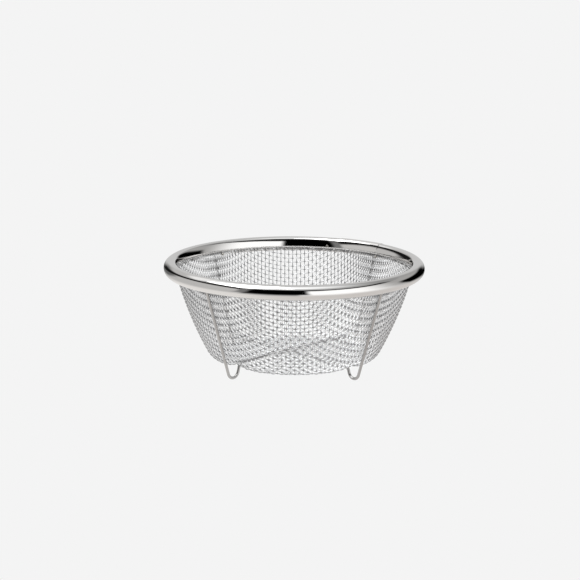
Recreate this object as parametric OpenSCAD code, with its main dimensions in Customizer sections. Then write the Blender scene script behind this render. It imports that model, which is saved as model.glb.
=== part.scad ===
// Round wire-mesh strainer basket with a rolled rim and two crossed leg wires.
// Millimetres, +Z up. Origin: centre of the plane that the four feet stand on.

/* [Rim] */
// Outer diameter of the rolled rim
rim_outer_d = 210; // [190:1:230]
// Thickness of the rolled rim section
rim_section_d = 12; // [11:0.5:13]
// Thickness of the sheet that the rim is rolled from
rim_sheet = 0.55; // [0.4:0.05:0.8]
// Height of the top of the rim above the feet
overall_h = 87; // [80:1:95]
// Diameter of the wire ring inside the roll
core_wire_d = 3.5; // [2.5:0.25:3.5]

/* [Rim joint] */
// Direction of the middle of the joint sleeve, from +X towards +Y
joint_azimuth = 54.4; // [0:0.1:360]
// Length of the joint sleeve round the rim, in degrees
joint_span = 23.2; // [15:0.1:40]
// Thickness of the joint sleeve
joint_sheet = 0.35; // [0.2:0.05:0.5]
// Radius of the sleeve's lower corners
joint_corner_r = 4; // [2:0.5:5]
// Direction of the spot weld beside the joint
spot_azimuth = 72.7; // [70:0.1:90]

/* [Mesh basket] */
// Thickness of the woven cloth, two wire diameters
mesh_t = 1.4; // [1:0.1:1.6]
// Lean of the wall from vertical where it leaves the rim
wall_lean = 14.5; // [10:0.5:16]
// Radius of the arc that the wall follows downwards
wall_arc_r = 286; // [200:1:500]
// Outer radius of the bend from the wall to the floor
corner_r = 13; // [10:0.5:16]
// Depth of the cloth from the middle of the rim to the lowest ring
basket_depth = 74.3; // [72:0.1:76]
// Slope at which the floor starts to rise from the lowest ring to the middle
floor_slope = 10; // [6:1:12]

/* [Leg wires] */
// Diameter of the leg wires
leg_wire_d = 2.3; // [1.8:0.1:2.6]
// Direction of the legs from the X axis
leg_azimuth = 46; // [44:0.5:48]
// Lean of the legs from vertical
leg_lean = 18.3; // [18:0.1:19]
// Distance of the foot loops from the middle
foot_r = 68.4; // [67:0.1:70]
// Radius of the foot loops along the wire's middle
foot_bend_r = 5.5; // [4.5:0.5:6]
// Radius of the bend from the foot to the cross run
rise_bend_r = 5; // [4:0.5:6]
// Steepness of the wire between the foot loop and the cross run
rise_angle = 75; // [65:1:80]
// Height of the lower cross run above the feet
cross_z = 9.9; // [9:0.1:11]

/* [Hidden] */
$fn = 96;

polished = "#c9c9c6";
satin = "#b9bab8";
woven = "#d5d6d6";

// Rim section: arcs that run into one another, from a hem that lies against the
// outside of the cloth, round the outside, over the top and down the flatter
// inner face to a small curl. Angles are measured from outwards over the top.
tube_r = rim_section_d / 2;
rim_r = rim_outer_d / 2 - tube_r;
rim_z = overall_h - tube_r;
shoulder_r = 2.5;
face_r = 16;
curl_r = 1.4;
hem_r = 1;
hem_l = 2;
hem_start = -119;
hem_end = -180 - wall_lean;
shoulder_start = 115;
face_start = 150;
curl_start = 171;
inner_lip = 240;
shoulder_c = [rim_r, rim_z] + (tube_r - shoulder_r) * [cos(shoulder_start), sin(shoulder_start)];
face_c = shoulder_c + (shoulder_r - face_r) * [cos(face_start), sin(face_start)];
curl_c = face_c + (face_r - curl_r) * [cos(curl_start), sin(curl_start)];
hem_c = [rim_r, rim_z] + (tube_r - hem_r) * [cos(hem_start), sin(hem_start)];
opening_mid = 224;
fit_gap = 0.1;
sleeve_gap = 0.02;
core_wire_r = core_wire_d / 2;
core_r = rim_r + 0.6;
core_z = rim_z + 2.6;

// Wall: it leaves the rim through the middle of the roll's opening.
leg_wire_r = leg_wire_d / 2;
mesh_r = rim_r + tube_r * cos(opening_mid) + mesh_t / 2;
mesh_z = rim_z + tube_r * sin(opening_mid);
mesh_top_z = rim_z + 3;
floor_z = rim_z - basket_depth;
wall_steps = 12;
corner_steps = 8;

// The wall's arc is centred on the axis side, level with the lean it starts at.
arc_cx = mesh_r - wall_arc_r * cos(wall_lean);
arc_cz = mesh_z + wall_arc_r * sin(wall_lean);

// The corner circle touches the wall's arc from inside and the floor from above.
corner_cz = floor_z + corner_r;
corner_cx = arc_cx + sqrt(pow(wall_arc_r - corner_r, 2) - pow(arc_cz - corner_cz, 2));
corner_lean = atan2(arc_cz - corner_cz, corner_cx - arc_cx);

// The floor is a shallow dome that carries on from the corner circle.
floor_steps = 4;
dome_r = (corner_cx - corner_r * sin(floor_slope)) / sin(floor_slope);
dome_cz = corner_cz - (corner_r + dome_r) * cos(floor_slope);

// Cross runs: the cloth is tented over each wire, with straight sides.
tent_gap = 0.2;
tent_side = 40;
tent_drop = 16;
arch_steps = 4;
cross_gap = 0.06;
upper_z = cross_z + leg_wire_d + cross_gap;
lower_z = cross_z;

// Leg wire: its middle line, from the end inside the roll down to the foot.
foot_z = leg_wire_r + foot_bend_r;
shank_r = foot_r + foot_bend_r * cos(leg_lean);
shank_z = foot_z - foot_bend_r * sin(leg_lean);
leg_top_z = rim_z - 1;
shank_l = (leg_top_z - shank_z) / cos(leg_lean);
leg_top_r = shank_r + (leg_top_z - shank_z) * tan(leg_lean);
loop_end_r = foot_r - foot_bend_r * sin(rise_angle);
loop_end_z = foot_z - foot_bend_r * cos(rise_angle);
run_seat = 0.25;
bend_swell = 0.02;
notch_gap = 0.25;
notch_l = 9;

// Points of an arc in the section plane
function arc(centre, r, from, to, steps) = [
    for (i = [0 : steps])
        let (a = from + (to - from) * i / steps)
        centre + r * [cos(a), sin(a)]
];
function reversed(list) = [for (i = [len(list) - 1 : -1 : 0]) list[i]];
// A closed line without repeated points
function distinct(list) = [
    for (i = [0 : len(list) - 1])
        if (i == 0 || norm(list[i] - list[i - 1]) > 0.001) list[i]
];
// Upper end of the hem, which runs straight up the cloth
function hem_top(grow) =
    hem_c + (hem_r + grow) * [cos(hem_end), sin(hem_end)] + hem_l * [sin(wall_lean), cos(wall_lean)];
// The rim's section line between two angles, grown outwards by a distance
function rim_line(from, to, grow) = concat(
    from < hem_start ? [hem_top(grow)] : [],
    from < hem_start ? arc(hem_c, hem_r + grow, from, hem_start, 6) : [],
    arc([rim_r, rim_z], tube_r + grow, max(from, hem_start), shoulder_start, 40),
    arc(shoulder_c, shoulder_r + grow, shoulder_start, face_start, 5),
    arc(face_c, face_r + grow, face_start, min(to, curl_start), 5),
    to > curl_start ? arc(curl_c, curl_r + grow, curl_start, to, 6) : []
);
// A strip of sheet that follows the section line, between two distances from it
function sheet_section(from, to, inner, outer) =
    distinct(concat(rim_line(from, to, outer), reversed(rim_line(from, to, inner))));

// Wall and corner as points (distance from the axis, height). inset moves
// the line towards the inside of the basket.
function wall_point(lean, inset) =
    [arc_cx + (wall_arc_r - inset) * cos(lean), arc_cz - (wall_arc_r - inset) * sin(lean)];
function corner_point(lean, inset) =
    [corner_cx + (corner_r - inset) * cos(lean), corner_cz - (corner_r - inset) * sin(lean)];
function wall_line(inset) = [
    for (i = [0 : wall_steps]) wall_point(wall_lean + (corner_lean - wall_lean) * i / wall_steps, inset)
];
function corner_line(inset) = [
    for (i = [1 : corner_steps])
        corner_point(corner_lean + (90 + floor_slope - corner_lean) * i / corner_steps, inset)
];
function floor_line(inset) = [
    for (i = [1 : floor_steps])
        let (slope = floor_slope * (1 - i / floor_steps))
        [(dome_r + inset) * sin(slope), dome_cz + (dome_r + inset) * cos(slope)]
];
// Radius of the cloth's straight top run at a height above the roll's opening
function top_r(z, inset) = mesh_r - inset / cos(wall_lean) + (z - mesh_z) * tan(wall_lean);

// Straight length between the foot loop and the bend to the cross run
function rise_length(wire_z) =
    (wire_z - rise_bend_r * (1 - cos(rise_angle)) - loop_end_z) / sin(rise_angle);
// Distance from the middle at which the cross run starts to bend down
function cross_reach(wire_z) =
    loop_end_r - rise_length(wire_z) * cos(rise_angle) - rise_bend_r * sin(rise_angle);

// Solid of revolution below the wall line, closed at the axis and at top_z
module bowl(inset, top_z) {
    rotate_extrude()
        polygon(concat(
            [[0, top_z], [top_r(top_z, inset), top_z]],
            wall_line(inset),
            corner_line(inset),
            floor_line(inset)
        ));
}

// Cross-section of the space under a tent, about the wire's middle line: an
// arch over the wire with a straight side on each hand, open downwards
module tent_section(grow) {
    arch_r = leg_wire_r + tent_gap + grow;
    arch = [
        for (i = [0 : arch_steps])
            let (a = tent_side + (180 - 2 * tent_side) * i / arch_steps)
            [arch_r * cos(a), arch_r * sin(a)]
    ];
    foot_x = arch[0].x + (arch[0].y + tent_drop) * tan(tent_side);
    polygon(concat(arch, [[-foot_x, -tent_drop], [foot_x, -tent_drop]]));
}

// The space under one tent, along the wire's cross run and out past the foot
module tent(azimuth, wire_z, grow) {
    rotate([0, 0, azimuth])
        translate([0, 0, wire_z])
            rotate([90, 0, 90])
                linear_extrude(height = 2 * rim_r, center = true)
                    tent_section(grow);
}

module tents(grow) {
    tent(leg_azimuth, upper_z, grow);
    tent(-leg_azimuth, lower_z, grow);
}

// A straight piece of leg wire that starts at a point and leans from +Z towards
// +X. It goes on a little past both ends, into the bends.
module wire_run(x, z, lean, length) {
    translate([x, 0, z])
        rotate([0, lean, 0])
            translate([0, 0, -run_seat])
                cylinder(r = leg_wire_r, h = length + 2 * run_seat);
}

// A bend of leg wire in the XZ plane, about a centre, from one angle to another
module wire_bend(x, z, bend_r, from, to) {
    translate([x, 0, z])
        rotate([90, 0, 0])
            rotate_extrude(angle = to - from, start = from)
                translate([bend_r, 0])
                    circle(r = leg_wire_r + bend_swell);
}

// One end of a leg wire: shank, foot loop, rise and the bend to the cross run
module leg_end(wire_z) {
    wire_run(shank_r, shank_z, leg_lean, shank_l);
    wire_bend(foot_r, foot_z, foot_bend_r, 270 - rise_angle, 360 - leg_lean);
    wire_run(loop_end_r, loop_end_z, rise_angle - 90, rise_length(wire_z));
    wire_bend(cross_reach(wire_z), wire_z - rise_bend_r, rise_bend_r, 90 - rise_angle, 90);
}

module leg_wire(azimuth, wire_z) {
    reach = cross_reach(wire_z);
    rotate([0, 0, azimuth]) {
        wire_run(-reach, wire_z, 90, 2 * reach);
        leg_end(wire_z);
        rotate([0, 0, 180]) leg_end(wire_z);
    }
}

// The room that a leg wire takes out of the rolled sheet
module leg_notches() {
    for (azimuth = [leg_azimuth, 180 - leg_azimuth, 180 + leg_azimuth, -leg_azimuth])
        rotate([0, 0, azimuth])
            translate([leg_top_r, 0, leg_top_z])
                rotate([0, 180 + leg_lean, 0])
                    cylinder(r = leg_wire_r + notch_gap, h = notch_l);
}

module rim_band() {
    color(polished)
    difference() {
        rotate_extrude()
            polygon(sheet_section(hem_end, inner_lip, -rim_sheet, 0));
        leg_notches();
    }
}

// Cuts one lower corner of the sleeve to a radius
module sleeve_corner(side, low_z) {
    corner_turn = joint_corner_r / (rim_r - tube_r) * 180 / PI;
    rotate([0, 0, side * (joint_span / 2 - corner_turn)])
        difference() {
            translate([rim_r - 2 * tube_r, side > 0 ? 0 : -2 * joint_corner_r, low_z - joint_corner_r])
                cube([2 * tube_r, 2 * joint_corner_r, 2 * joint_corner_r]);
            translate([rim_r - 3 * tube_r, 0, low_z + joint_corner_r])
                rotate([0, 90, 0])
                    cylinder(r = joint_corner_r, h = 4 * tube_r);
        }
}

// Short lap of sheet that covers the joint of the roll, over the top of the rim
module rim_joint_sleeve() {
    low_edge = 168.5;
    out_edge = -40;
    low_z = face_c.y + face_r * sin(low_edge);
    color(polished)
    rotate([0, 0, joint_azimuth])
        difference() {
            rotate([0, 0, -joint_span / 2])
                rotate_extrude(angle = joint_span)
                    polygon(sheet_section(out_edge, low_edge, sleeve_gap, sleeve_gap + joint_sheet));
            sleeve_corner(1, low_z);
            sleeve_corner(-1, low_z);
        }
}

module rim_spot_weld() {
    spot_r = 1.1;
    spot_h = 0.3;
    spot_face = 169;
    spot_at = face_c + (face_r + sleeve_gap) * [cos(spot_face), sin(spot_face)];
    color(satin)
    rotate([0, 0, spot_azimuth])
        translate([spot_at.x, 0, spot_at.y])
            rotate([0, 90 - spot_face, 0])
                cylinder(r1 = spot_r, r2 = spot_r - spot_h, h = spot_h);
}

module rim_core_ring() {
    color(satin)
    rotate_extrude()
        translate([core_r, core_z])
            circle(r = core_wire_r);
}

module mesh_basket() {
    color(woven)
    difference() {
        bowl(0, mesh_top_z);
        tents(0);
        difference() {
            bowl(mesh_t, mesh_top_z + 1);
            tents(mesh_t);
        }
    }
}

module leg_wire_upper() {
    color(satin) leg_wire(leg_azimuth, upper_z);
}

module leg_wire_lower() {
    color(satin) leg_wire(-leg_azimuth, lower_z);
}

module cross_weld() {
    weld_r = 1.6;
    weld_gap = 0.01;
    color(satin)
    difference() {
        translate([0, 0, lower_z])
            cylinder(r = weld_r, h = upper_z - lower_z);
        for (wire = [[leg_azimuth, upper_z], [-leg_azimuth, lower_z]])
            rotate([0, 0, wire[0]])
                translate([0, 0, wire[1]])
                    rotate([0, 90, 0])
                        cylinder(r = leg_wire_r + weld_gap, h = 4 * weld_r, center = true);
    }
}

module leg_top_welds() {
    bead_r = 1.2;
    bead_z = rim_z - 4.1;
    bead_ring_r = top_r(bead_z, mesh_t) - bead_r - 2 * fit_gap;
    bead_turn = 3.4;
    color(satin)
    for (azimuth = [leg_azimuth, 180 - leg_azimuth, 180 + leg_azimuth, -leg_azimuth])
        rotate([0, 0, azimuth - bead_turn])
            translate([bead_ring_r, 0, bead_z])
                sphere(r = bead_r);
}

rim_band();
rim_joint_sleeve();
rim_spot_weld();
rim_core_ring();
mesh_basket();
leg_wire_upper();
leg_wire_lower();
cross_weld();
leg_top_welds();
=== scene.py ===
"""Round wire-mesh strainer basket: woven cloth, materials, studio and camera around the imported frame.

Lengths in the build section are millimetres in the frame's axes; meshes are written in metres.
"""

import math

import bpy
import numpy as np
from mathutils import Matrix, Vector


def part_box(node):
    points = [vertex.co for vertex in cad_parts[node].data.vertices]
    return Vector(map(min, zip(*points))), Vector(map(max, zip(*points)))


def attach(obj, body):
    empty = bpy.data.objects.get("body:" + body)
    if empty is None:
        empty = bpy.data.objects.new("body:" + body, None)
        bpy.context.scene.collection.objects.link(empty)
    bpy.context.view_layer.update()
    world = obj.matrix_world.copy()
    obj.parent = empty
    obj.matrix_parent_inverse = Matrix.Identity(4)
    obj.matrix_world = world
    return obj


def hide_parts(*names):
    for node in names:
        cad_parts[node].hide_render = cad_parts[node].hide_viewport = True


MM = 0.001

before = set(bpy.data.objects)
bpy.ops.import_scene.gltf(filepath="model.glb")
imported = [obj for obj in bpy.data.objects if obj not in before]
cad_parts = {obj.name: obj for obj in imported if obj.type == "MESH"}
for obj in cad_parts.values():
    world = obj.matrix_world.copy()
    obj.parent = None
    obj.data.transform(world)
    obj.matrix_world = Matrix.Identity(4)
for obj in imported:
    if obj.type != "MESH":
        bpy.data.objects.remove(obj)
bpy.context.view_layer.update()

# Rolled rim: the outside circle of its section, the tighter shoulder over the inner edge, the flatter
# inner face, the small curl and, at the other end, the hem against the cloth. Angles of the section are
# in degrees and run from outwards over the top.
RIM_SECTION_R = 6.0
SHOULDER_R = 2.5
FACE_R = 16.0
CURL_R = 1.4
HEM_R = 1.0
HEM_L = 2.0
# The hem is matt where it is this much nearer to the axis, and this much lower, than the roll's middle.
HEM_INSET = 2.7
HEM_DROP = 2.6
HEM_ROUGHNESS = 0.6
HEM_END, HEM_START = -194.5, -119.0
SHOULDER_START, FACE_START, CURL_START = 115.0, 150.0, 171.0
INNER_LIP = 240.0
RIM_SHEET = 0.55
RIM_STEPS = 384
SHARP_ANGLE = math.radians(50)

# Lap of sheet over the joint of the roll.
LAP_AZIMUTH = 54.4
LAP_SPAN = 23.2
LAP_SHEET = 0.35
LAP_GAP = 0.02
LAP_CORNER_R = 4.0
LAP_START, LAP_END = -40.0, 168.5
LAP_STEPS = 60

# Sizes taken from the frame's own nodes, in millimetres.
BAND_LOW, BAND_HIGH = (np.array(corner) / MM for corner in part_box("rim_band"))
RIM_R = (BAND_HIGH[1] - BAND_LOW[1]) / 2 - RIM_SECTION_R
RIM_Z = BAND_HIGH[2] - RIM_SECTION_R
CLOTH_LOW, CLOTH_HIGH = (np.array(corner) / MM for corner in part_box("mesh_basket"))
CLOTH_T = 1.4
OPENING_ANGLE = math.radians(224)
WALL_LEAN = math.radians(14.5)
WALL_ARC_R = 286.0
CORNER_R = 13.0
FLOOR_SLOPE = math.radians(10)
DOME_STEPS, CORNER_STEPS, WALL_STEPS, TOP_STEPS = 60, 90, 120, 40
TOP_RUN = 60.0

# Leg wires: height of each cross run, their direction, and the cloth's rise over them.
LEG_WIRE_R = 1.15
LEG_AZIMUTH = math.radians(46)
LEG_LEAN = math.radians(18.3)
FOOT_R = 68.4
FOOT_BEND_R = 5.5
LEG_TOP_Z = RIM_Z - 1
LEG_TOP_R = (FOOT_R + FOOT_BEND_R * math.cos(LEG_LEAN)
             + (LEG_TOP_Z - LEG_WIRE_R - FOOT_BEND_R * (1 - math.sin(LEG_LEAN))) * math.tan(LEG_LEAN))
NOTCH_GAP = 0.25
NOTCH_L = 9.0
NOTCH_SIDES = 32
LOWER_WIRE_Z = 9.9
UPPER_WIRE_Z = LOWER_WIRE_Z + 2 * LEG_WIRE_R + 0.06
TENT_GAP = 0.3
TENT_FLAT = 0.8
TENT_WIDTH = 5.5
TENT_BLEND = 1.2

# Woven cloth: NET_REACH wires each way from the middle, which is enough to pass the cloth's edge.
WIRE_R = 0.35
PITCH = 3.4
NET_REACH = 47
SAMPLES_PER_CELL = 3
WIRE_SIDES = 6
CLOTH_TURN = math.radians(0.8)
NORMAL_STEP = 0.15

# Newton's method for the crossings: step for slopes, longest move, error that is good enough, most rounds.
SLOPE_STEP = 1e-4
LONGEST_MOVE = 2.0
GOOD_ENOUGH = 1e-8
MOST_ROUNDS = 30

# Slight waviness of the wires: the largest swing in millimetres and how fast it changes along the cloth.
WAVES = 6
WAVE_SEED = 7
WAVE_SWING = 0.09
WAVE_RATE = 0.11

# Painted shade on the cloth wires: how much darker a wire is painted on its flanks and on its crests on one
# face of the cloth, from 0 to 1; the dark colour of that painted shade; and the strength of a faint glow
# that stands in for light bounced between the wires.
FLANK_PAINTED_SHADE = 0.24
CREST_PAINTED_SHADE = 0.68
PAINTED_SHADE_COLOUR = (0.14, 0.14, 0.145)
CLOTH_GLOW = 0.07


def direction(degrees):
    turn = np.radians(degrees)
    return np.stack([np.cos(turn), np.sin(turn)], -1)


class RimSection:
    """Line of the rolled rim's section as (distance from the axis, height), by the angle of its normal."""

    def __init__(self):
        outside = np.array([RIM_R, RIM_Z])
        shoulder = outside + (RIM_SECTION_R - SHOULDER_R) * direction(SHOULDER_START)
        face = shoulder + (SHOULDER_R - FACE_R) * direction(FACE_START)
        curl = face + (FACE_R - CURL_R) * direction(CURL_START)
        hem = outside + (RIM_SECTION_R - HEM_R) * direction(HEM_START)
        self.arcs = ((hem, HEM_R, HEM_END, HEM_START, 10.0),
                     (outside, RIM_SECTION_R, HEM_START, SHOULDER_START, 3.0),
                     (shoulder, SHOULDER_R, SHOULDER_START, FACE_START, 4.0),
                     (face, FACE_R, FACE_START, CURL_START, 1.5),
                     (curl, CURL_R, CURL_START, INNER_LIP, 8.0))

    def line(self, start, end):
        """Points and normals of the section between two angles."""
        points, normals = [], []
        if start <= HEM_END:
            hem, radius = self.arcs[0][:2]
            up_the_cloth = np.array([[math.sin(WALL_LEAN), math.cos(WALL_LEAN)]])
            normals.append(direction(HEM_END)[None])
            points.append(hem + radius * normals[0] + HEM_L * up_the_cloth)
        for centre, radius, low, high, step in self.arcs:
            low, high = max(low, start), min(high, end)
            if high <= low:
                continue
            turn = np.linspace(low, high, max(2, math.ceil((high - low) / step) + 1))
            if low > start:
                turn = turn[1:]
            points.append(centre + radius * direction(turn))
            normals.append(direction(turn))
        return np.concatenate(points), np.concatenate(normals)


class Profile:
    """Middle line of the cloth from the axis outwards, by length along it."""

    def __init__(self):
        inset = CLOTH_T / 2
        wall_r = RIM_R + RIM_SECTION_R * math.cos(OPENING_ANGLE) + inset
        wall_z = RIM_Z + RIM_SECTION_R * math.sin(OPENING_ANGLE)
        arc_x = wall_r - WALL_ARC_R * math.cos(WALL_LEAN)
        arc_z = wall_z + WALL_ARC_R * math.sin(WALL_LEAN)
        corner_z = CLOTH_LOW[2] + CORNER_R
        corner_x = arc_x + math.sqrt((WALL_ARC_R - CORNER_R) ** 2 - (arc_z - corner_z) ** 2)
        corner_lean = math.atan2(arc_z - corner_z, corner_x - arc_x)
        dome_r = (corner_x - CORNER_R * math.sin(FLOOR_SLOPE)) / math.sin(FLOOR_SLOPE)
        dome_z = corner_z - (CORNER_R + dome_r) * math.cos(FLOOR_SLOPE)

        slope = np.linspace(0, FLOOR_SLOPE, DOME_STEPS)
        dome = np.stack([(dome_r + inset) * np.sin(slope), dome_z + (dome_r + inset) * np.cos(slope)], 1)
        lean = np.linspace(math.pi / 2 + FLOOR_SLOPE, corner_lean, CORNER_STEPS)[1:]
        corner = np.stack([corner_x + (CORNER_R - inset) * np.cos(lean),
                           corner_z - (CORNER_R - inset) * np.sin(lean)], 1)
        lean = np.linspace(corner_lean, WALL_LEAN, WALL_STEPS)[1:]
        wall = np.stack([arc_x + (WALL_ARC_R - inset) * np.cos(lean),
                         arc_z - (WALL_ARC_R - inset) * np.sin(lean)], 1)
        rise = np.linspace(0, TOP_RUN, TOP_STEPS)[1:]
        top = wall[-1] + rise[:, None] * np.array([math.sin(WALL_LEAN), math.cos(WALL_LEAN)])

        line = np.concatenate([dome, corner, wall, top])
        self.r = line[:, 0]
        self.z = line[:, 1]
        self.s = np.concatenate([[0], np.cumsum(np.hypot(*np.diff(line, axis=0).T))])
        low_ring = len(dome)
        self.s_top = float(np.interp(CLOTH_HIGH[2], self.z[low_ring:], self.s[low_ring:]))

    def at(self, s):
        return np.interp(s, self.s, self.r), np.interp(s, self.s, self.z)


PROFILE = Profile()
RIM_SECTION = RimSection()


def tent_lift(x, y, z):
    """How far the cloth is lifted over the two leg wires' cross runs."""
    lift = np.zeros_like(x)
    for azimuth, wire_z in ((LEG_AZIMUTH, UPPER_WIRE_Z), (-LEG_AZIMUTH, LOWER_WIRE_Z)):
        across = np.abs(x * math.sin(azimuth) - y * math.cos(azimuth))
        target = wire_z + LEG_WIRE_R + TENT_GAP + WIRE_R * 2
        short = target - z
        room = 0.5 * (short + np.sqrt(short * short + TENT_BLEND**2))
        shape = np.exp(-np.maximum(across - TENT_FLAT, 0) / TENT_WIDTH)
        shape = np.where(short > -3 * TENT_BLEND, shape, 0)
        lift = np.maximum(lift, room * shape)
    return lift


def surface(u, v):
    """Point of the cloth's middle surface. u and v are the distance along the profile, as X and Y."""
    s = np.hypot(u, v)
    r, z = PROFILE.at(s)
    scale = r / np.maximum(s, 1e-9)
    x, y = u * scale, v * scale
    return np.stack([x, y, z + tent_lift(x, y, z)], -1)


def surface_normal(u, v):
    du = surface(u + NORMAL_STEP, v) - surface(u - NORMAL_STEP, v)
    dv = surface(u, v + NORMAL_STEP) - surface(u, v - NORMAL_STEP)
    n = np.cross(du, dv)
    return n / np.linalg.norm(n, axis=-1, keepdims=True)


def turned_point(s, angle):
    r, z = PROFILE.at(s)
    return np.array([r * math.cos(angle), r * math.sin(angle), z])


def next_crossing(a, b, guess):
    """Where a wire from a and a wire from b cross, one pitch from each, by Newton's method."""
    s, angle = guess
    for _ in range(MOST_ROUNDS):
        q = turned_point(s, angle)
        ds = (turned_point(s + SLOPE_STEP, angle) - q) / SLOPE_STEP
        da = (turned_point(s, angle + SLOPE_STEP) - q) / SLOPE_STEP
        to_a, to_b = q - a, q - b
        miss = np.array([to_a @ to_a - PITCH**2, to_b @ to_b - PITCH**2])
        slope = 2 * np.array([[to_a @ ds, to_a @ da], [to_b @ ds, to_b @ da]])
        move = np.linalg.solve(slope, miss)
        reach = max(abs(move[0]), abs(move[1]) * q[0])
        move *= min(1.0, LONGEST_MOVE / max(reach, GOOD_ENOUGH))
        s, angle = s - move[0], angle - move[1]
        if np.abs(miss).max() < GOOD_ENOUGH:
            break
    return s, angle


def cloth_net():
    """Crossings of the pressed cloth in one quarter of the basket.

    Pressing a flat woven cloth keeps its pitch along every wire and shears its cells. So each crossing
    lies one pitch from the two before it, and the whole net grows from the two wires through the middle.
    """
    net = np.full((NET_REACH, NET_REACH, 2), np.nan)
    for k in range(NET_REACH):
        net[k, 0] = (k * PITCH, 0.0)
        net[0, k] = (k * PITCH, math.pi / 2)
    for diagonal in range(2, 2 * NET_REACH - 1):
        for i in range(max(1, diagonal - NET_REACH + 1), min(diagonal, NET_REACH)):
            j = diagonal - i
            across, along, back = net[i, j - 1], net[i - 1, j], net[i - 1, j - 1]
            if np.isnan([across, along, back]).any():
                continue
            if min(across[0], along[0]) > PROFILE.s_top + 2 * PITCH:
                continue
            plane = [q[0] * np.array([math.cos(q[1]), math.sin(q[1])]) for q in (across, along, back)]
            u, v = plane[0] + plane[1] - plane[2]
            guess = (math.hypot(u, v), math.atan2(v, u))
            net[i, j] = next_crossing(turned_point(*across), turned_point(*along), guess)
    return net


def full_net():
    """u and v of every crossing, indexed from -reach to +reach both ways, with a little unevenness."""
    quarter = cloth_net()
    side = 2 * NET_REACH - 1
    index = np.abs(np.arange(side) - (NET_REACH - 1))
    sign = np.sign(np.arange(side) - (NET_REACH - 1))
    s = quarter[index[:, None], index[None, :], 0]
    angle = quarter[index[:, None], index[None, :], 1]
    u = s * np.cos(angle) * sign[:, None]
    v = s * np.sin(angle) * sign[None, :]
    waves = np.random.default_rng(WAVE_SEED).uniform(-1, 1, (WAVES, 4))
    for a, b, phase, size in waves:
        swing = WAVE_SWING * size * np.sin(WAVE_RATE * (a * u + b * v) + 6 * phase)
        u = u + swing
        v = v - 0.7 * swing * np.cos(5 * phase)
    along, across = math.cos(CLOTH_TURN), math.sin(CLOTH_TURN)
    return along * u - across * v, across * u + along * v


def spline(points, per_cell):
    """Catmull-Rom curve through points, per_cell samples from each to the next."""
    padded = np.concatenate([[2 * points[0] - points[1]], points, [2 * points[-1] - points[-2]]])
    t = (np.arange(per_cell) / per_cell)[None, :, None]
    a, b, c, d = (padded[k:len(padded) - 3 + k, None, :] for k in range(4))
    curve = 0.5 * (2 * b + (c - a) * t + (2 * a - 5 * b + 4 * c - d) * t**2 + (3 * b - a - 3 * c + d) * t**3)
    return np.concatenate([curve.reshape(-1, points.shape[1]), points[-1:]])


def wire_path(u, v, parity, shaded_face):
    """Middle line of one cloth wire through its crossings, over one wire and under the next.

    The last argument is the face of the cloth, 1 inside and -1 outside, on which painted shade darkens the
    wire's crests.
    """
    keep = ~np.isnan(u) & (np.hypot(u, v) <= PROFILE.s_top)
    if keep.sum() < 3:
        return None
    first, last = np.flatnonzero(keep)[[0, -1]]
    reach = slice(max(first - 1, 0), last + 2)
    if np.isnan(u[reach]).any():
        reach = slice(first, last + 1)
    order = np.arange(len(u))[reach]
    curve = spline(np.stack([u[reach], v[reach]], 1), SAMPLES_PER_CELL)
    step = order[0] + np.arange(len(curve)) / SAMPLES_PER_CELL
    inside = np.hypot(curve[:, 0], curve[:, 1]) <= PROFILE.s_top
    curve, step = curve[inside], step[inside]
    crest = np.cos(math.pi * (step + parity))
    normal = surface_normal(curve[:, 0], curve[:, 1])
    path = surface(curve[:, 0], curve[:, 1]) + WIRE_R * crest[:, None] * normal
    # Painted shade on the crests that lie on the given face of the cloth.
    return path, normal, np.clip(shaded_face * crest, 0, 1)


class MeshBuilder:
    """Collects tubes into one mesh."""

    def __init__(self):
        self.points = []
        self.faces = []
        self.painted_shade = []
        self.count = 0

    def tube(self, path, normal, crest_shade, radius, sides):
        """Closed round tube along a path, with flat ends and outward faces.

        The third argument is how much painted shade the wire's crests get along it.
        """
        tangent = np.gradient(path, axis=0)
        tangent /= np.linalg.norm(tangent, axis=1, keepdims=True)
        up = normal - (normal * tangent).sum(1, keepdims=True) * tangent
        up /= np.linalg.norm(up, axis=1, keepdims=True)
        out = np.cross(tangent, up)
        turn = np.arange(sides) * 2 * math.pi / sides
        ring = (path[:, None, :] + radius * (np.cos(turn)[None, :, None] * up[:, None, :]
                                             + np.sin(turn)[None, :, None] * out[:, None, :]))
        rows = len(path)
        base = self.count + np.arange(rows - 1)[:, None] * sides
        k = np.arange(sides)[None, :]
        nxt = (k + 1) % sides
        quads = np.stack([base + k, base + nxt, base + nxt + sides, base + k + sides], -1).reshape(-1, 4)
        self.points.append(ring.reshape(-1, 3))
        # Painted shade: each wire is painted darker on its flanks, where its neighbours would shade it, and
        # on its crests on one face of the cloth.
        painted_shade = FLANK_PAINTED_SHADE * np.sin(turn)[None, :] ** 2 + CREST_PAINTED_SHADE * crest_shade[:, None]
        self.painted_shade.append(np.minimum(painted_shade, 1).reshape(-1))
        self.faces.extend(quads.tolist())
        self.faces.append([self.count + i for i in reversed(range(sides))])
        self.faces.append([self.count + (rows - 1) * sides + i for i in range(sides)])
        self.count += rows * sides

    def build(self, name):
        mesh = bpy.data.meshes.new(name)
        mesh.from_pydata(np.concatenate(self.points) * MM, [], self.faces)
        mesh.update()
        mesh.shade_smooth()
        # Stores the painted shade of each point for the cloth's material.
        mesh.attributes.new("painted_shade", "FLOAT", "POINT").data.foreach_set("value", np.concatenate(self.painted_shade))
        made = bpy.data.objects.new(name, mesh)
        bpy.context.scene.collection.objects.link(made)
        return made


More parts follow.
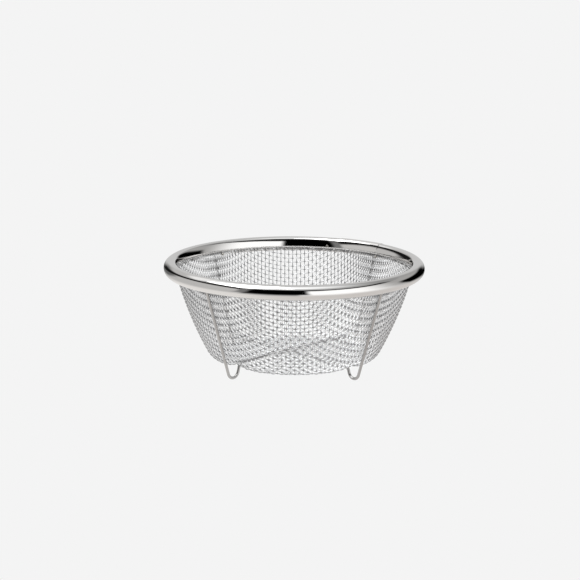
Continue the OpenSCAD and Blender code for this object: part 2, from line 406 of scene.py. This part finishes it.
def revolved(name, loop, start, end, steps):
    """Ring or part of a ring from a closed loop of section points.

    start and end are the ring angles in degrees, for each point of the loop; None makes a whole ring.
    """
    count = len(loop)
    whole = start is None
    if whole:
        turn = np.repeat(np.arange(steps)[:, None] * 2 * math.pi / steps, count, axis=1)
    else:
        share = np.linspace(0, 1, steps + 1)[:, None]
        turn = np.radians(start + (end - start) * share)
    points = np.stack([loop[:, 0] * np.cos(turn), loop[:, 0] * np.sin(turn),
                       np.broadcast_to(loop[:, 1], turn.shape)], -1)
    rows = len(turn)
    row = np.arange(rows if whole else rows - 1)[:, None]
    k = np.arange(count)[None, :]
    here, there = row * count, (row + 1) % rows * count
    nxt = (k + 1) % count
    faces = np.stack([here + k, there + k, there + nxt, here + nxt], -1).reshape(-1, 4).tolist()
    if not whole:
        half = count // 2
        for base, order in ((0, (0, 1, 2, 3)), ((rows - 1) * count, (3, 2, 1, 0))):
            for i in range(half - 1):
                corners = (base + i, base + i + 1, base + count - 2 - i, base + count - 1 - i)
                faces.append([corners[j] for j in order])
    mesh = bpy.data.meshes.new(name)
    mesh.from_pydata(points.reshape(-1, 3) * MM, [], faces)
    mesh.update()
    mesh.shade_smooth()
    made = bpy.data.objects.new(name, mesh)
    bpy.context.scene.collection.objects.link(made)
    return made


def round_edge(last, normal, thickness, along):
    """Points of the rounded edge of a sheet, from its outer face over to its inner one."""
    middle = last - normal * thickness / 2
    turn = np.radians([45.0, 90.0, 135.0])[:, None]
    return middle + thickness / 2 * (np.cos(turn) * normal + np.sin(turn) * along)


def build_rim():
    """Rolled rim of bent sheet, with the room for each leg wire cut out of its outer lip."""
    line, normal = RIM_SECTION.line(HEM_END, INNER_LIP)
    inner = line - RIM_SHEET * normal
    along = line[[-1]] - line[[-2]]
    along /= np.linalg.norm(along)
    back = line[[0]] - line[[1]]
    back /= np.linalg.norm(back)
    loop = np.concatenate([line, round_edge(line[-1], normal[-1], RIM_SHEET, along), inner[::-1],
                           round_edge(line[0], normal[0], RIM_SHEET, back)[::-1]])
    rim = revolved("rim_roll", loop, None, None, RIM_STEPS)
    for azimuth in (LEG_AZIMUTH, math.pi - LEG_AZIMUTH, math.pi + LEG_AZIMUTH, -LEG_AZIMUTH):
        top = Vector((LEG_TOP_R, 0, LEG_TOP_Z)) * MM
        bpy.ops.mesh.primitive_cylinder_add(vertices=NOTCH_SIDES, radius=(LEG_WIRE_R + NOTCH_GAP) * MM,
                                            depth=NOTCH_L * MM)
        cutter = bpy.context.object
        turn = Matrix.Rotation(azimuth, 4, "Z") @ Matrix.Translation(top) @ Matrix.Rotation(LEG_LEAN, 4, "Y")
        cutter.matrix_world = turn @ Matrix.Translation((0, 0, -NOTCH_L / 2 * MM))
        cut = rim.modifiers.new("notch", "BOOLEAN")
        cut.object, cut.operation, cut.solver = cutter, "DIFFERENCE", "EXACT"
        bpy.context.view_layer.objects.active = rim
        bpy.ops.object.modifier_apply(modifier=cut.name)
        spent = cutter.data
        bpy.data.objects.remove(cutter)
        bpy.data.meshes.remove(spent)
    rim.data.set_sharp_from_angle(angle=SHARP_ANGLE)
    return rim


def build_lap():
    """Lap of sheet over the joint, with its two lower corners rounded."""
    line, normal = RIM_SECTION.line(LAP_START, LAP_END)
    outer = line + (LAP_GAP + LAP_SHEET) * normal
    inner = line + LAP_GAP * normal
    to_edge = np.concatenate([np.cumsum(np.hypot(*np.diff(outer[::-1], axis=0).T))[::-1], [0]])
    short = np.clip(LAP_CORNER_R - to_edge, 0, LAP_CORNER_R)
    inset = LAP_CORNER_R - np.sqrt(LAP_CORNER_R**2 - short**2)
    inset = np.degrees(inset / outer[:, 0])
    inset = np.concatenate([inset, inset[::-1]])
    loop = np.concatenate([outer, inner[::-1]])
    half = LAP_SPAN / 2
    lap = revolved("rim_lap", loop, LAP_AZIMUTH - half + inset, LAP_AZIMUTH + half - inset, LAP_STEPS)
    lap.data.set_sharp_from_angle(angle=SHARP_ANGLE)
    return lap


def build_cloth():
    """The two sets of wires of the plain-weave cloth, each one piece."""
    u, v = full_net()
    pieces = []
    for name, lay in (("mesh_wires_across", 0), ("mesh_wires_along", 1)):
        builder = MeshBuilder()
        for k in range(u.shape[0]):
            line = (u[:, k], v[:, k]) if lay == 0 else (u[k, :], v[k, :])
            made = wire_path(*line, k + lay, 2 * lay - 1)
            if made is not None:
                builder.tube(*made, WIRE_R, WIRE_SIDES)
        pieces.append(builder.build(name))
    return pieces


# ---------------------------------------------------------------- materials


class Graph:
    """Short calls for building a node tree. keep goes on with the nodes that are there."""

    # Places of the colour sockets on a mix node.
    MIX_FACTOR, MIX_FIRST, MIX_SECOND, MIX_RESULT = 0, 6, 7, 2

    def __init__(self, tree, keep=False):
        self.tree = tree
        if not keep:
            tree.nodes.clear()

    def node(self, kind, **values):
        made = self.tree.nodes.new(kind)
        for key, value in values.items():
            setattr(made, key, value)
        return made

    def link(self, out, into):
        self.tree.links.new(out, into)

    def math(self, operation, *inputs):
        made = self.node("ShaderNodeMath", operation=operation)
        for slot, value in zip(made.inputs, inputs):
            if hasattr(value, "links"):
                self.link(value, slot)
            else:
                slot.default_value = value
        return made.outputs[0]

    def ramp(self, value, low, high):
        """Smooth step: 0 below low, 1 above high."""
        made = self.node("ShaderNodeMapRange")
        made.interpolation_type = "SMOOTHSTEP"
        self.link(value, made.inputs["Value"])
        made.inputs["From Min"].default_value = low
        made.inputs["From Max"].default_value = high
        return made.outputs["Result"]

    def mix_colour(self, factor, first, second):
        made = self.node("ShaderNodeMix", data_type="RGBA")
        sockets = (made.inputs[self.MIX_FACTOR], made.inputs[self.MIX_FIRST], made.inputs[self.MIX_SECOND])
        for socket, value in zip(sockets, (factor, first, second)):
            if hasattr(value, "links"):
                self.link(value, socket)
            elif isinstance(value, tuple):
                socket.default_value = (*value, 1.0)
            else:
                socket.default_value = value
        return made.outputs[self.MIX_RESULT]

    def noise(self, scale, detail, roughness, vector):
        made = self.node("ShaderNodeTexNoise")
        made.inputs["Scale"].default_value = scale
        made.inputs["Detail"].default_value = detail
        made.inputs["Roughness"].default_value = roughness
        self.link(vector, made.inputs["Vector"])
        return made.outputs["Fac"]


CLOUD_SCALE = 38.0
BUMP_DEPTH = 0.1 * MM


def metal(name, dark, light, rough, grain_scale, stretch, bump):
    """Bare steel: its colour, from dark to light, and its roughness vary with a fine grain and soft clouds.

    rough is the lowest and highest roughness. stretch scales the grain along X, Y and Z.
    """
    material = bpy.data.materials.new(name)
    material.use_nodes = True
    g = Graph(material.node_tree)
    out = g.node("ShaderNodeOutputMaterial")
    bsdf = g.node("ShaderNodeBsdfPrincipled")
    g.link(bsdf.outputs[0], out.inputs["Surface"])
    bsdf.inputs["Metallic"].default_value = 1.0
    place = g.node("ShaderNodeTexCoord").outputs["Object"]
    mapping = g.node("ShaderNodeMapping")
    mapping.inputs["Scale"].default_value = stretch
    g.link(place, mapping.inputs["Vector"])
    grain = g.noise(grain_scale, 4.0, 0.6, mapping.outputs[0])
    cloud = g.noise(CLOUD_SCALE, 2.0, 0.5, place)
    tone = g.math("ADD", g.math("MULTIPLY", grain, 0.5), g.math("MULTIPLY", cloud, 0.5))
    g.link(g.mix_colour(tone, dark, light), bsdf.inputs["Base Color"])
    polish = g.node("ShaderNodeMapRange")
    g.link(tone, polish.inputs["Value"])
    polish.inputs["From Min"].default_value = 0.3
    polish.inputs["From Max"].default_value = 0.7
    polish.inputs["To Min"].default_value = rough[0]
    polish.inputs["To Max"].default_value = rough[1]
    g.link(polish.outputs["Result"], bsdf.inputs["Roughness"])
    bumper = g.node("ShaderNodeBump")
    bumper.inputs["Strength"].default_value = bump
    bumper.inputs["Distance"].default_value = BUMP_DEPTH
    g.link(grain, bumper.inputs["Height"])
    g.link(bumper.outputs[0], bsdf.inputs["Normal"])
    return material


def rim_material():
    """Polished sheet, scratched matt on the hem that lies against the cloth."""
    material = metal("rim_polished_steel", dark=(0.78, 0.77, 0.755), light=(0.86, 0.85, 0.84),
                     rough=(0.03, 0.07), grain_scale=220.0, stretch=(1.0, 1.0, 9.0), bump=0.04)
    g = Graph(material.node_tree, keep=True)
    bsdf = next(n for n in material.node_tree.nodes if n.type == "BSDF_PRINCIPLED")
    polish = bsdf.inputs["Roughness"].links[0].from_socket
    place = g.node("ShaderNodeSeparateXYZ")
    g.link(g.node("ShaderNodeTexCoord").outputs["Object"], place.inputs[0])
    x, y, z = place.outputs
    radius = g.math("SQRT", g.math("ADD", g.math("MULTIPLY", x, x), g.math("MULTIPLY", y, y)))
    hem = g.math("MULTIPLY", g.math("LESS_THAN", radius, (RIM_R - HEM_INSET) * MM),
                 g.math("LESS_THAN", z, (RIM_Z - HEM_DROP) * MM))
    g.link(g.math("MAXIMUM", polish, g.math("MULTIPLY", hem, HEM_ROUGHNESS)), bsdf.inputs["Roughness"])
    return material


def lap_material():
    return metal("lap_satin_steel", dark=(0.86, 0.845, 0.825), light=(0.96, 0.945, 0.93),
                 rough=(0.05, 0.10), grain_scale=260.0, stretch=(1.0, 1.0, 5.0), bump=0.12)


def cloth_material():
    """Bright wire, with painted shade on its flanks and on its crests on one face of the cloth, and a faint
    painted glow.
    """
    material = metal("cloth_wire_steel", dark=(0.93, 0.94, 0.95), light=(0.98, 0.99, 1.0),
                     rough=(0.08, 0.18), grain_scale=900.0, stretch=(1.0, 1.0, 1.0), bump=0.12)
    g = Graph(material.node_tree, keep=True)
    bsdf = next(n for n in material.node_tree.nodes if n.type == "BSDF_PRINCIPLED")
    shine = bsdf.inputs["Base Color"].links[0].from_socket
    painted_shade = g.node("ShaderNodeAttribute", attribute_name="painted_shade").outputs["Fac"]
    # Painted shade: the wire's colour is mixed towards a dark grey by the painted shade stored on the mesh.
    g.link(g.mix_colour(painted_shade, shine, PAINTED_SHADE_COLOUR), bsdf.inputs["Base Color"])
    # Stands in for the light that bounces between neighbouring wires.
    g.link(g.mix_colour(painted_shade, (1.0, 1.0, 1.0), (0.0, 0.0, 0.0)), bsdf.inputs["Emission Color"])
    bsdf.inputs["Emission Strength"].default_value = CLOTH_GLOW
    return material


def leg_material():
    return metal("leg_wire_steel", dark=(0.44, 0.435, 0.43), light=(0.58, 0.57, 0.56),
                 rough=(0.06, 0.12), grain_scale=700.0, stretch=(1.0, 1.0, 0.25), bump=0.15)


def weld_material():
    return metal("weld_steel", dark=(0.40, 0.38, 0.35), light=(0.62, 0.60, 0.57),
                 rough=(0.30, 0.5), grain_scale=1200.0, stretch=(1.0, 1.0, 1.0), bump=0.5)


def dress(node, material):
    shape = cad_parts[node]
    shape.data.materials.clear()
    shape.data.materials.append(material)


# ---------------------------------------------------------------- studio

BACKDROP = (0.905, 0.905, 0.905)
DARK = (0.0, 0.0, 0.0)
FLOOR_HALF = 12.0
LAMP_SIZE = 1.2
LAMP_POWER = 12.0
LAMP_PLACE = (-0.63, -0.11, 1.58)


def room_colour(g, x, y, z):
    """Light of the room by direction from the basket: azimuth 0 is the camera's side, + is its right.

    A patch is given as low edge, its softness, high edge and its softness, in degrees: first round the
    room and then upwards. Each one is laid over those before it.
    """
    level = g.math("SQRT", g.math("ADD", g.math("MULTIPLY", x, x), g.math("MULTIPLY", y, y)))
    elevation = g.math("DEGREES", g.math("ARCTAN2", z, level))
    azimuth = g.math("DEGREES", g.math("ARCTAN2", x, g.math("MULTIPLY", y, -1.0)))

    def between(value, low, soft_low, high, soft_high):
        """1 from low to high, 0 outside, with soft edges."""
        return g.math("MULTIPLY", g.ramp(value, low - soft_low, low + soft_low),
                      g.ramp(value, high + soft_high, high - soft_high))

    def patch(across, up):
        return g.math("MULTIPLY", between(azimuth, *across), between(elevation, *up))

    def grey(level, warm=0.0):
        return (level * (1 + warm), level, level * (1 - warm))

    # Ceiling: grey, and brighter towards the zenith.
    room = g.mix_colour(g.ramp(elevation, 48.0, 90.0), grey(0.34), grey(1.35, -0.01))
    # Pale wall behind the basket.
    behind = g.math("MAXIMUM", g.ramp(azimuth, 150.0, 168.0), g.ramp(azimuth, -150.0, -168.0))
    room = g.mix_colour(g.math("MULTIPLY", behind, g.ramp(elevation, 80.0, 55.0)), room, grey(0.62))
    # Soft overhead panel on the left, and its paler end towards the back.
    room = g.mix_colour(patch((-163.0, 8.0, -112.0, 9.0), (30.0, 6.0, 88.0, 4.0)), room, grey(0.98))
    room = g.mix_colour(patch((-122.0, 10.0, -33.0, 14.0), (52.0, 7.0, 95.0, 2.0)), room, grey(1.7, -0.02))
    # Left wall, below the panel.
    room = g.mix_colour(patch((-162.0, 8.0, -40.0, 3.0), (-30.0, 8.0, 36.0, 4.0)), room, grey(0.56, 0.01))
    room = g.mix_colour(patch((-160.0, 7.0, -127.0, 8.0), (-12.0, 4.0, 17.0, 6.0)), room, grey(0.15))
    # Dark gap that rises from the back left along the panel's lower edge.
    gap_azimuth = g.math("MULTIPLY", g.math("ADD", azimuth, 72.0), 1.084)
    gap_middle = g.math("MULTIPLY", g.math("COSINE", g.math("RADIANS", gap_azimuth)), 36.0)
    off_gap = g.math("ABSOLUTE", g.math("SUBTRACT", elevation, gap_middle))
    gap = g.math("MULTIPLY", g.ramp(off_gap, 11.0, 4.5), between(azimuth, -160.0, 6.0, -38.0, 4.0))
    room = g.mix_colour(gap, room, grey(0.01))
    # Dark lower edge of the ceiling on the right.
    room = g.mix_colour(patch((12.0, 8.0, 112.0, 10.0), (35.0, 3.0, 47.0, 2.0)), room, grey(0.02))
    # Bright panel on the right, fading away from the camera.
    panel = g.mix_colour(g.ramp(azimuth, 52.0, 108.0), grey(1.25), grey(0.42, 0.01))
    panel = g.mix_colour(g.ramp(elevation, -4.0, -28.0), panel, grey(0.7, 0.02))
    room = g.mix_colour(patch((4.0, 3.0, 150.0, 20.0), (-34.0, 6.0, 36.5, 1.5)), room, panel)
    # Dark corner at the back right.
    room = g.mix_colour(patch((106.0, 5.0, 158.0, 6.0), (-13.0, 4.0, 16.0, 4.0)), room, DARK)
    # Dark side of the room, behind the camera: narrow at the bottom, spread to the right at the top.
    room = g.mix_colour(patch((-50.0, 3.0, -36.0, 3.0), (-10.0, 6.0, 36.0, 4.0)), room, grey(0.2))
    room = g.mix_colour(patch((-41.0, 3.0, 12.0, 3.5), (-13.0, 6.0, 47.0, 7.0)), room, DARK)
    room = g.mix_colour(patch((-30.0, 8.0, 30.0, 9.0), (36.0, 6.0, 50.0, 7.0)), room, DARK)
    # Table, a little darker on the right.
    table = g.mix_colour(g.ramp(azimuth, -60.0, 20.0), (0.87, 0.85, 0.83), (0.7, 0.67, 0.65))
    table = g.mix_colour(g.ramp(elevation, -35.0, -62.0), table, grey(0.84))
    return g.mix_colour(g.ramp(elevation, -13.0, -25.0), room, table)


def build_floor():
    """Large pale floor. The camera sees it plain; the metal sees the table and the room beyond it."""
    mesh = bpy.data.meshes.new("floor")
    corners = [(x * FLOOR_HALF, y * FLOOR_HALF, 0) for x, y in ((-1, -1), (1, -1), (1, 1), (-1, 1))]
    mesh.from_pydata(corners, [], [(0, 1, 2, 3)])
    floor = bpy.data.objects.new("floor", mesh)
    bpy.context.scene.collection.objects.link(floor)
    material = bpy.data.materials.new("pale_floor")
    material.use_nodes = True
    g = Graph(material.node_tree)
    out = g.node("ShaderNodeOutputMaterial")
    glow = g.node("ShaderNodeEmission")
    place = g.node("ShaderNodeSeparateXYZ")
    g.link(g.node("ShaderNodeNewGeometry").outputs["Position"], place.inputs[0])
    x, y, z = place.outputs
    room = room_colour(g, x, y, g.math("SUBTRACT", z, RIM_Z * MM))
    seen = g.node("ShaderNodeLightPath").outputs["Is Camera Ray"]
    g.link(g.mix_colour(seen, room, BACKDROP), glow.inputs["Color"])
    g.link(glow.outputs[0], out.inputs["Surface"])
    mesh.materials.append(material)


def build_world():
    """Even white backdrop for the camera, the studio room for the metal to reflect."""
    world = bpy.data.worlds.new("studio")
    world.use_nodes = True
    bpy.context.scene.world = world
    g = Graph(world.node_tree)
    out = g.node("ShaderNodeOutputWorld")
    sky = g.node("ShaderNodeBackground")
    split = g.node("ShaderNodeSeparateXYZ")
    g.link(g.node("ShaderNodeTexCoord").outputs["Generated"], split.inputs[0])
    seen = g.node("ShaderNodeLightPath").outputs["Is Camera Ray"]
    room = room_colour(g, *split.outputs)
    g.link(g.mix_colour(seen, room, BACKDROP), sky.inputs[0])
    g.link(sky.outputs[0], out.inputs["Surface"])


def build_light():
    """Soft lamp in the middle of the overhead panel."""
    data = bpy.data.lights.new("softbox", "AREA")
    data.shape = "SQUARE"
    data.size = LAMP_SIZE
    data.energy = LAMP_POWER
    lamp = bpy.data.objects.new("softbox", data)
    lamp.location = LAMP_PLACE
    lamp.rotation_euler = (-lamp.location).to_track_quat("-Z", "Y").to_euler()
    bpy.context.scene.collection.objects.link(lamp)


CAMERA_ELEVATION = math.radians(11.65)
CAMERA_DISTANCE = 1.5
CAMERA_ROLL = math.radians(0.34)
CAMERA_LENS = 115.5
CAMERA_SENSOR = 36.0
CAMERA_CLIP = (0.05, 60.0)
AIM_RIGHT = -0.00326
AIM_DOWN = 0.0189


def build_camera():
    """Camera at the height and distance of the reference view, aimed a little below the rim's middle."""
    data = bpy.data.cameras.new("camera")
    data.sensor_width = CAMERA_SENSOR
    data.lens = CAMERA_LENS
    data.clip_start, data.clip_end = CAMERA_CLIP
    camera = bpy.data.objects.new("camera", data)
    back = Vector((0, -math.cos(CAMERA_ELEVATION), math.sin(CAMERA_ELEVATION)))
    up = Vector((0, math.sin(CAMERA_ELEVATION), math.cos(CAMERA_ELEVATION)))
    right = Vector((1, 0, 0))
    rim_middle = Vector((0, 0, RIM_Z * MM))
    eye = rim_middle + back * CAMERA_DISTANCE
    aim = rim_middle + right * AIM_RIGHT - up * AIM_DOWN
    forward = (aim - eye).normalized()
    side = forward.cross(Vector((0, 0, 1))).normalized()
    top = side.cross(forward)
    basis = Matrix((side, top, -forward)).transposed()
    camera.matrix_world = Matrix.Translation(eye) @ basis.to_4x4() @ Matrix.Rotation(CAMERA_ROLL, 4, "Z")
    bpy.context.scene.collection.objects.link(camera)
    bpy.context.scene.camera = camera


# ---------------------------------------------------------------- assembly

cloth_steel = cloth_material()
for piece in build_cloth():
    piece.data.materials.append(cloth_steel)
    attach(piece, "root")
    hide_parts("mesh_basket")

for piece, node, material, slot in ((build_rim(), "rim_band", rim_material(), "rim"),
                                    (build_lap(), "rim_joint_sleeve", lap_material(), "rim")):
    piece.data.materials.append(material)
    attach(piece, "root")
    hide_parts(node)

leg_steel = leg_material()
weld_steel = weld_material()
for node, material in (("rim_spot_weld", weld_steel), ("rim_core_ring", leg_steel),
                       ("leg_wire_upper", leg_steel), ("leg_wire_lower", leg_steel),
                       ("cross_weld", weld_steel), ("leg_top_welds", weld_steel)):
    dress(node, material)

build_floor()
build_world()
build_light()
build_camera()
bpy.context.scene.view_settings.view_transform = "Standard"
